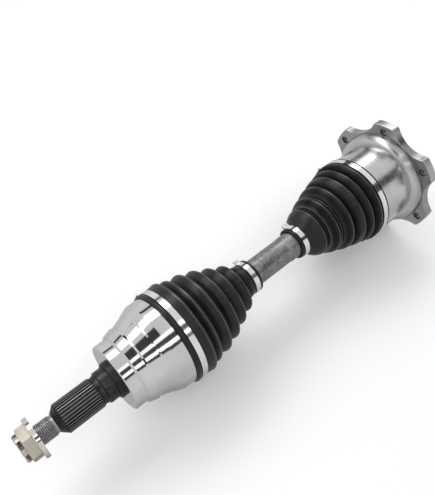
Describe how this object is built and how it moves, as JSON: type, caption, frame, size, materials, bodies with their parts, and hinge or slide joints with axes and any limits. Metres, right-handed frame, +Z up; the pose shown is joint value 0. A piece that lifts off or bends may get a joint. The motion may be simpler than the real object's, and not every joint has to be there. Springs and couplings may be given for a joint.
{
  "type": "constant-velocity axle shaft",
  "caption": "Drive axle shaft with a ball-type outer joint and splined, threaded stub, rubber bellows boots, and a plunging tripod inner joint ending in a lobed bolt flange.",
  "frame": {"origin": "centre of the inner flange's mounting face, on the axle's axis", "axes": "+X along the axle from the wheel end out of the flange's mounting face, +Z up, +Y to complete a right-handed frame; bolt holes stand 18.5 degrees plus multiples of 60 from +Y towards +Z"},
  "size_m": [0.5896, 0.1654, 0.1674],
  "materials": {
    "turned_steel": "fine turned, polished",
    "phosphate": "dark satin phosphate",
    "nickel_plate": "warm bright nickel plate",
    "zinc_steel": "satin plated",
    "shaft_steel": "satin drawn steel",
    "machined_steel": "smooth machined",
    "boot_rubber": "satin black",
    "band_steel": "bright polished stainless band",
    "bearing_steel": "ground and polished",
    "spring_steel": "blued"
  },
  "bodies": {
    "flange_end": {"inner_housing": "machined_steel", "housing_end_cap": "zinc_steel", "inner_boot": "boot_rubber", "inner_boot_clamp_large": "band_steel"},
    "pivot_roller": {"pivot_roller": "bearing_steel"},
    "shaft": {"axle_shaft": "shaft_steel", "inner_race": "bearing_steel", "race_circlip": "spring_steel", "tripod_spider": "machined_steel", "spider_circlips": "spring_steel", "needle_set_1": "bearing_steel", "needle_set_2": "bearing_steel", "needle_set_3": "bearing_steel", "roller_washers": "spring_steel", "roller_rings": "spring_steel", "inner_boot_clamp_small": "band_steel", "outer_boot_clamp_small": "band_steel"},
    "roller_2": {"roller_2": "bearing_steel"},
    "roller_3": {"roller_3": "bearing_steel"},
    "ball_cage": {"ball_cage": "machined_steel", "bearing_balls": "bearing_steel"},
    "wheel_end": {"outer_housing": "turned_steel", "axle_nut": "zinc_steel", "nut_washer": "nickel_plate", "seal_collar": "phosphate", "outer_boot": "boot_rubber", "outer_boot_clamp_large": "band_steel"}
  },
  "joints": [
    {"name": "inner_plunge", "type": "slide", "parent": "flange_end", "child": "pivot_roller", "axis": [1, 0, 0], "range_m": [-0.01, 0.01], "deforming": ["inner_boot"]},
    {"name": "inner_joint_tilt", "type": "hinge", "parent": "pivot_roller", "child": "shaft", "pos_m": [-0.046, 0, 0], "axis": [0, 1, 0], "range_deg": [-18, 18], "deforming": ["inner_boot"]},
    {"name": "roller_2_spin", "type": "hinge", "parent": "shaft", "child": "roller_2", "pos_m": [-0.046, 0, 0], "axis": [0, -0.5, 0.866], "continuous": true},
    {"name": "roller_3_spin", "type": "hinge", "parent": "shaft", "child": "roller_3", "pos_m": [-0.046, 0, 0], "axis": [0, -0.5, -0.866], "continuous": true},
    {"name": "outer_joint_steer", "type": "hinge", "parent": "shaft", "child": "wheel_end", "pos_m": [-0.413, 0, 0], "axis": [0, 0, 1], "range_deg": [-40, 40], "deforming": ["outer_boot"]},
    {"name": "cage_half_angle", "type": "hinge", "parent": "shaft", "child": "ball_cage", "pos_m": [-0.413, 0, 0], "axis": [0, 0, 1], "range_deg": [-20.5, 20.5]}
  ],
  "couplings": [
    {"joint": "cage_half_angle", "follows": "outer_joint_steer", "ratio": 0.5}
  ]
}
